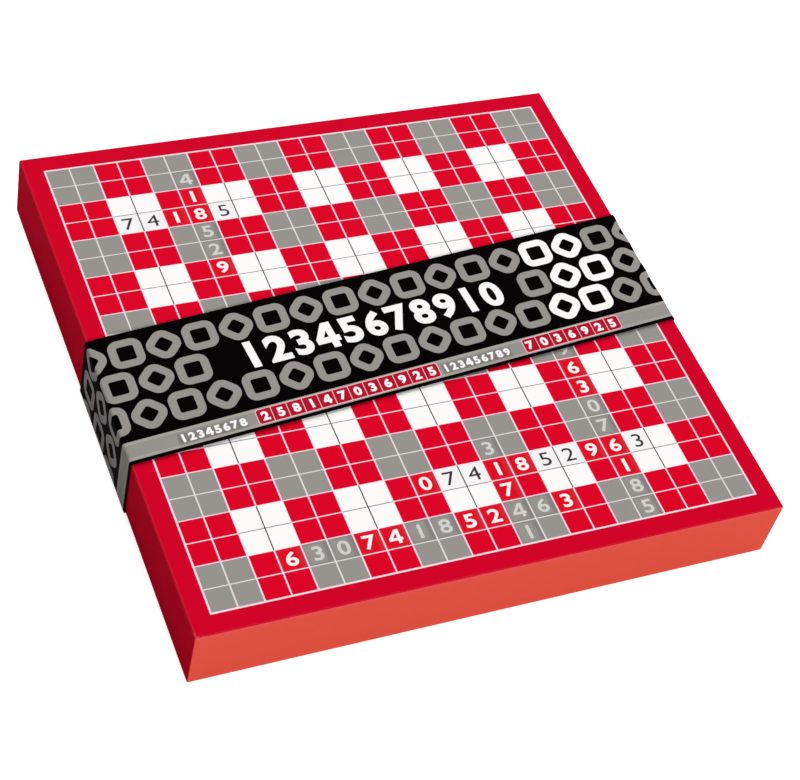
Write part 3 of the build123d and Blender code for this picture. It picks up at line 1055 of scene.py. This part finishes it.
def number_tiles(group):
    """The moulded tiles in their wells, with a figure on each of the top ones."""
    looks = (("red", (RED, DEEP_RED), WHITE_INK), ("grey", (GREY, DEEP_GREY), WHITE_INK),
             ("white", ((242, 240, 234), (228, 225, 218)), DARK_INK))
    pitch = TILE_SIDE + TILE_GAP
    clear = 0.02 * MM
    for offset, (colour, tints, figure_ink) in enumerate(looks):
        node = "tiles_" + colour
        low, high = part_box(node)
        first = Vector((low.x + TILE_SIDE / 2, low.y + TILE_SIDE / 2, low.z))
        material = moulded(colour + "_tile", *tints)
        sizes = {"Columns": TILE_COLUMNS, "Rows": TILE_ROWS, "Layers": TILE_LAYERS,
                 "Seed": 7 + offset, "Column pitch": pitch, "Row pitch": pitch,
                 "Layer pitch": TILE_HEIGHT, "Shift": 0.12 * MM, "Turn": radians(0.7),
                 "Material": material}
        tile = plate(TILE_SIDE / 2, TILE_SIDE / 2, TILE_CORNER, TILE_HEIGHT - clear, TILE_EDGE)
        mesh = copies(group, tile, sizes)
        mesh.transform(Matrix.Translation(first))
        piece(node + "_finished", mesh, "tray", material, [node])

        places = []
        top = high.z - clear
        for row in range(TILE_ROWS):
            for column in range(TILE_COLUMNS):
                number = (row * 5 + column * 3 + offset * 4) % 10
                point = Vector((first.x + column * pitch, first.y + row * pitch, top))
                places.append((str(number), point, TILE_FIGURE, 0))
        name = "figures_on_" + colour + "_tiles"
        figures(name, places, 0.018, "tray", figure_ink)


def card_decks(group):
    """Two decks, card upon card."""
    material = card_print()
    for seed, side in enumerate(("left", "right")):
        node = "card_deck_" + side
        low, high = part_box(node)
        pitch = (high.z - low.z) / CARDS_IN_DECK
        half = (high - low) / 2
        # Cards are a little smaller than the deck's block, so that they can lie out of line
        room = 0.3 * MM
        card = plate(half.x - room, half.y - room, CARD_CORNER, pitch * 0.94, pitch * 0.15)
        sizes = {"Columns": 1, "Rows": 1, "Layers": CARDS_IN_DECK, "Seed": 20 + seed,
                 "Column pitch": 0.0, "Row pitch": 0.0, "Layer pitch": pitch,
                 "Shift": 0.2 * MM, "Turn": radians(0.12), "Material": material}
        mesh = copies(group, card, sizes)
        middle = (low + high) / 2
        mesh.transform(Matrix.Translation((middle.x, middle.y, low.z)))
        piece(node + "_finished", mesh, "tray", material, [node])


def repaint(material, *nodes):
    """Gives carried-over nodes their finish."""
    for node in nodes:
        mesh = NODES[node].data
        mesh.materials.clear()
        mesh.materials.append(material)


# Floor, light and camera
FILL = 0.23


def floor():
    """A pale floor. Seen directly it is nearly white, and white further out."""
    half = 6.0
    fade = 1.2
    mesh = bpy.data.meshes.new("floor")
    work = bmesh.new()
    bmesh.ops.create_grid(work, x_segments=1, y_segments=1, size=half)
    work.to_mesh(mesh)
    work.free()
    thing = new_object("floor", mesh)
    thing.location.z = -0.2 * MM
    finish = Finish("pale_floor", roughness=0.9, gloss=0.0)
    finish.shader["Base Color"].default_value = (0.66, 0.66, 0.66, 1)
    rays = finish.node("ShaderNodeLightPath").outputs
    seen = finish.most(Sock(finish, rays["Is Camera Ray"]), Sock(finish, rays["Is Glossy Ray"]))
    x, y, _ = finish.split(finish.place())
    far = 1 - finish.below(finish.most(abs(x), abs(y)) - fade, fade)
    finish.shader["Emission Color"].default_value = (1, 1, 1, 1)
    finish.feed(finish.shader["Emission Strength"], seen * (0.8 + 0.2 * far))
    mesh.materials.append(finish.material)


def surround():
    """Even fill light from all round, seen as white by the camera and in reflections."""
    world = bpy.data.worlds.new("studio")
    bpy.context.scene.world = world
    world.use_nodes = True
    sky = Tree(world.node_tree)
    rays = sky.node("ShaderNodeLightPath").outputs
    seen = sky.most(Sock(sky, rays["Is Camera Ray"]), Sock(sky, rays["Is Glossy Ray"]))
    seen = sky.most(seen, Sock(sky, rays["Is Transmission Ray"]))
    background = world.node_tree.nodes["Background"].inputs
    background["Color"].default_value = (1, 1, 1, 1)
    sky.feed(background["Strength"], seen * (1 - FILL) + FILL)


def lamp(name, direction, distance, size, level):
    """A square soft light. Level 1 lights a face turned to it so that its colour reads true."""
    light = bpy.data.lights.new(name, "AREA")
    light.size = size
    light.energy = level * pi * pi * distance * distance
    thing = new_object(name, light)
    place = Vector(direction).normalized() * distance
    turn = place.to_track_quat("Z", "Y").to_matrix().to_4x4()
    thing.matrix_world = Matrix.Translation(place) @ turn


def camera():
    """The photograph's view: from the front left and above, tipped a little to one side."""
    data = bpy.data.cameras.new("camera")
    data.lens = 91.04
    data.sensor_width = 36.0
    thing = new_object("camera", data)
    place = Vector((-0.3622, -0.5763, 0.7664))
    aim = Vector((-0.0099, -0.0381, 0.0370))
    turn = (place - aim).to_track_quat("Z", "Y").to_matrix().to_4x4()
    tip = Matrix.Rotation(radians(15.68), 4, "Z")
    thing.matrix_world = Matrix.Translation(place) @ turn @ tip
    bpy.context.scene.camera = thing


WHITE_INK = ink("white_figures", WHITE, (238, 237, 238))
PALE_INK = ink("pale_figures", (214, 212, 207), (196, 193, 188))
DARK_INK = ink("dark_figures", (64, 54, 58), (50, 42, 46))

lid_paper()
lid_numbers()
card_band()
band_numbers()
tray_paper()
ROWS_AND_LAYERS = copies_tree()
number_tiles(ROWS_AND_LAYERS)
card_decks(ROWS_AND_LAYERS)
softened("insert_tray", 0.3 * MM, formed_sheet())
BEECH = beech()
for rack in ("front_left", "front_right", "back_left", "back_right"):
    softened("rack_" + rack, 0.5 * MM, BEECH)

repaint(greyboard(), "lid_board", "base_board")
repaint(plain_paper("brown_stay_paper", (176, 138, 98), (158, 120, 82), grain=0.05 * MM),
        "lid_corner_stays", "base_corner_stays")
repaint(plain_paper("white_lining_paper", (236, 234, 228), (222, 219, 211), grain=0.05 * MM),
        "lid_lining", "base_lining")
repaint(plain_paper("red_bottom_sheet", (200, 4, 38), (180, 0, 32)), "base_bottom_sheet")
repaint(plain_paper("leaflet_paper", (240, 238, 232), (228, 225, 218)), "rules_leaflet")
repaint(plain_paper("linen_board_paper", (60, 58, 57), (44, 42, 42), grain=0.08 * MM),
        *[f"board_leaf_{number}" for number in range(1, 5)])
repaint(book_cloth(), *["board_tape_" + tape for tape in ("lower", "upper", "spine")])

floor()
surround()
lamp("front_light", (0.08, -0.908, 0.41), 10.0, 4.0, 0.68)
lamp("back_light", (0.22, 0.84, 0.495), 10.0, 6.1, 1.17)
camera()
bpy.context.scene.view_settings.view_transform = "Standard"
